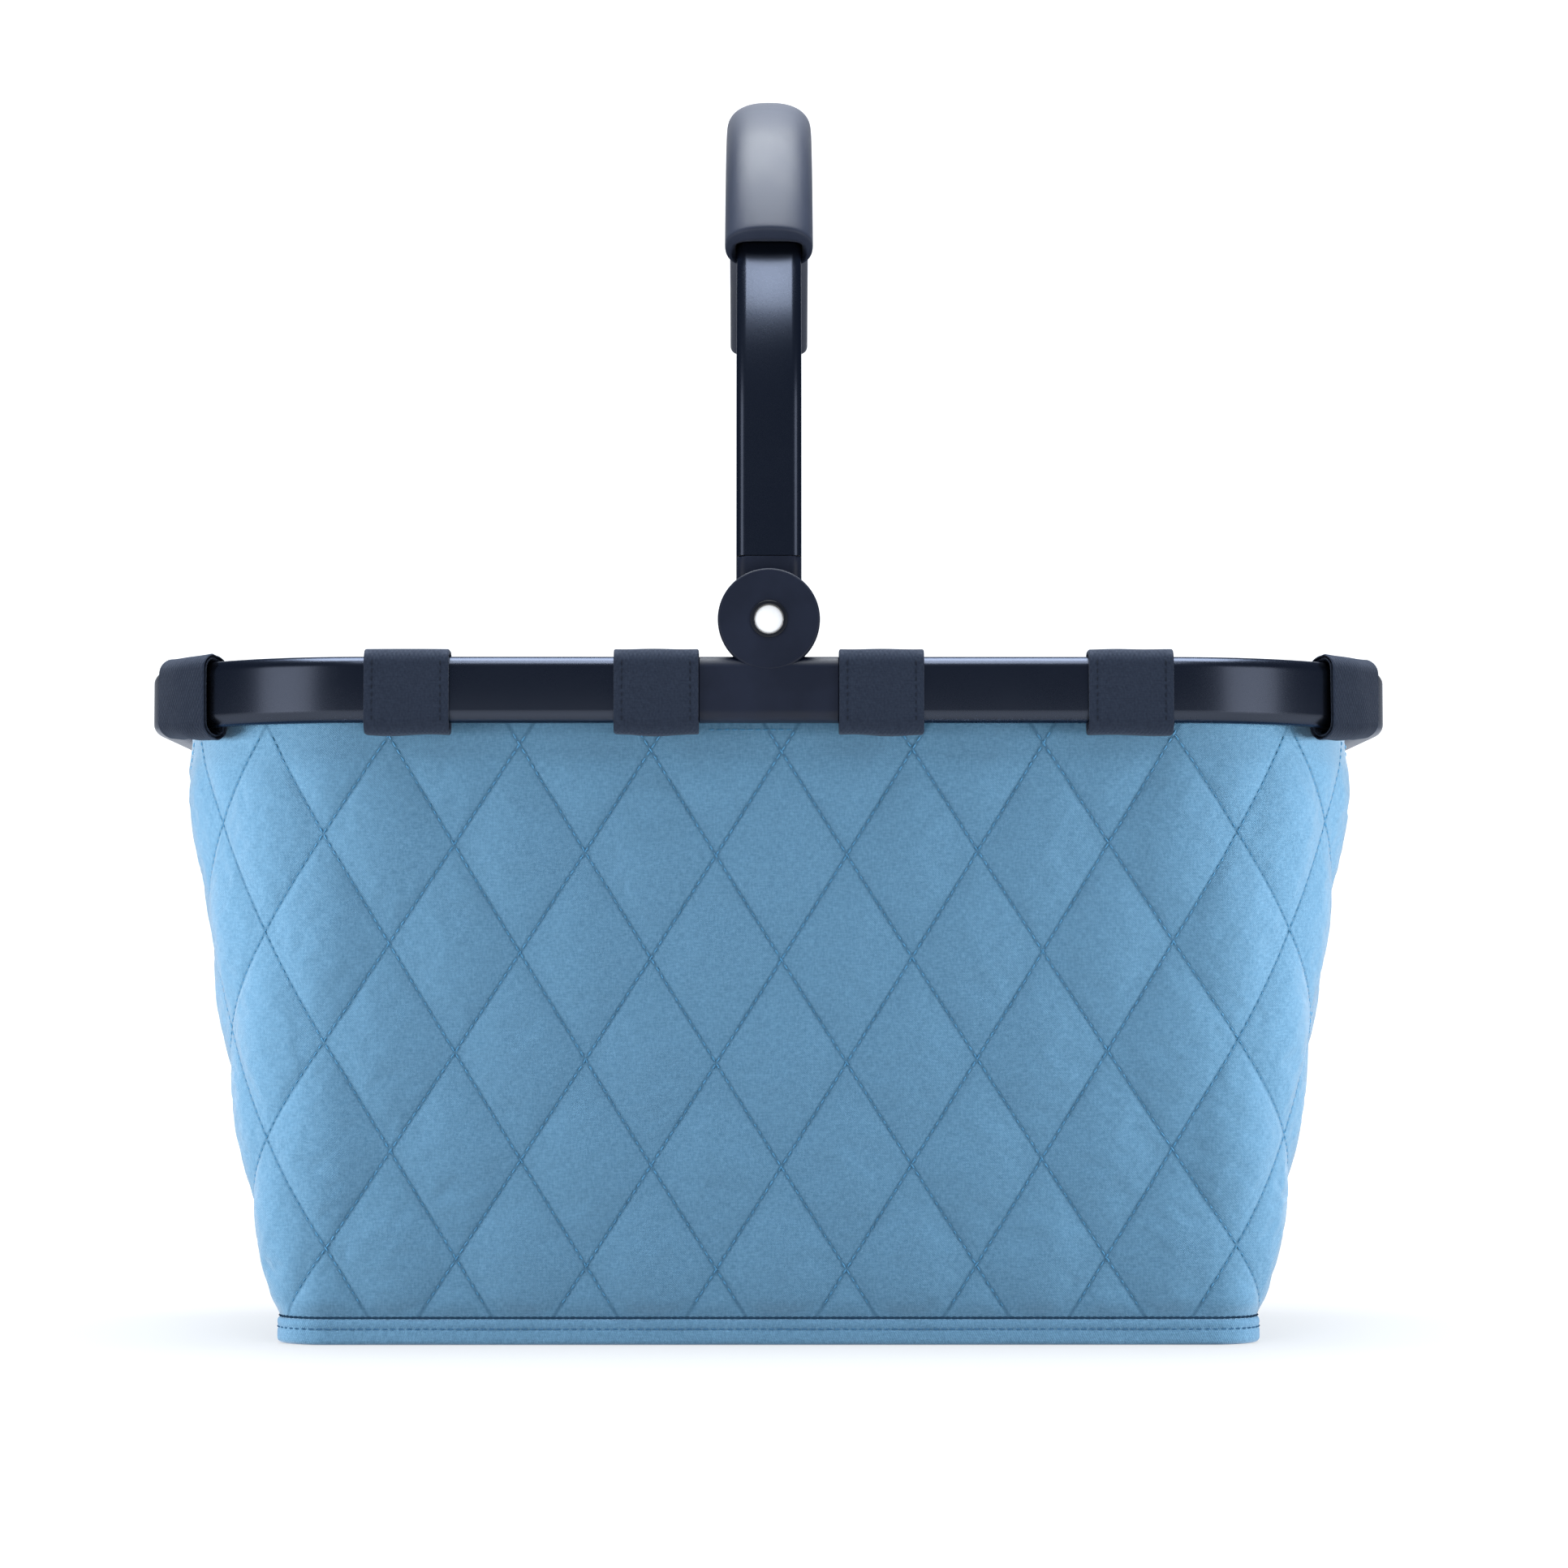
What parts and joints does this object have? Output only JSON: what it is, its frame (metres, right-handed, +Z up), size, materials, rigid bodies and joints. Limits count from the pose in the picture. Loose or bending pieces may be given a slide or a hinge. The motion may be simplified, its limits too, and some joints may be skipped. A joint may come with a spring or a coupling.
{
  "type": "carry basket",
  "caption": "Quilted fabric carry basket hung in an oval-tube rim frame, with an arched handle that swings on a hinge at each long side.",
  "frame": {"origin": "middle of the base, on the surface the basket stands on", "axes": "+Z up, +X along the long side of the rim, -Y the front"},
  "size_m": [0.48, 0.2852, 0.4918],
  "materials": {
    "anodised_tube": "dark blue-black anodised aluminium, glossy, with soft reflections along the tube",
    "bracket_plastic": "dark slate moulded plastic, satin",
    "rivet_metal": "black-coated hollow rivet",
    "pin_nylon": "white nylon, satin",
    "washer_plastic": "black nylon",
    "grip_foam": "soft-touch dark grey grip, matt, with fine grain",
    "quilted_fabric": "heathered sky-blue woven polyester over thin wadding, quilted in diamonds",
    "binding_fabric": "the same blue fabric as a folded and stitched binding",
    "lining_fabric": "dark grey plain woven lining",
    "webbing": "dark slate woven tape with stitched edges",
    "board_plastic": "black sheet plastic"
  },
  "bodies": {
    "basket": {"frame_tube_left": "anodised_tube", "frame_tube_right": "anodised_tube", "hinge_bracket_front": "bracket_plastic", "hinge_bracket_back": "bracket_plastic", "pivot_rivet_front": "rivet_metal", "pivot_rivet_back": "rivet_metal", "pivot_pin_front": "pin_nylon", "pivot_pin_back": "pin_nylon", "friction_washer_front": "washer_plastic", "friction_washer_back": "washer_plastic", "quilted_panel_front": "quilted_fabric", "quilted_panel_back": "quilted_fabric", "lining": "lining_fabric", "top_hem": "webbing", "base_binding": "binding_fabric", "base_panel": "binding_fabric", "base_board": "board_plastic", "tab_front_1": "webbing", "tab_front_2": "webbing", "tab_front_3": "webbing", "tab_front_4": "webbing", "tab_back_1": "webbing", "tab_back_2": "webbing", "tab_back_3": "webbing", "tab_back_4": "webbing", "corner_tab_front_1": "webbing", "corner_tab_front_2": "webbing", "corner_tab_back_1": "webbing", "corner_tab_back_2": "webbing"},
    "handle": {"handle_tube": "anodised_tube", "grip": "grip_foam", "handle_fitting_front": "bracket_plastic", "handle_fitting_back": "bracket_plastic"}
  },
  "joints": [
    {"name": "handle_swing", "type": "hinge", "parent": "basket", "child": "handle", "pos_m": [0, 0, 0.2707], "axis": [0, 1, 0], "range_deg": [-85, 85]}
  ]
}
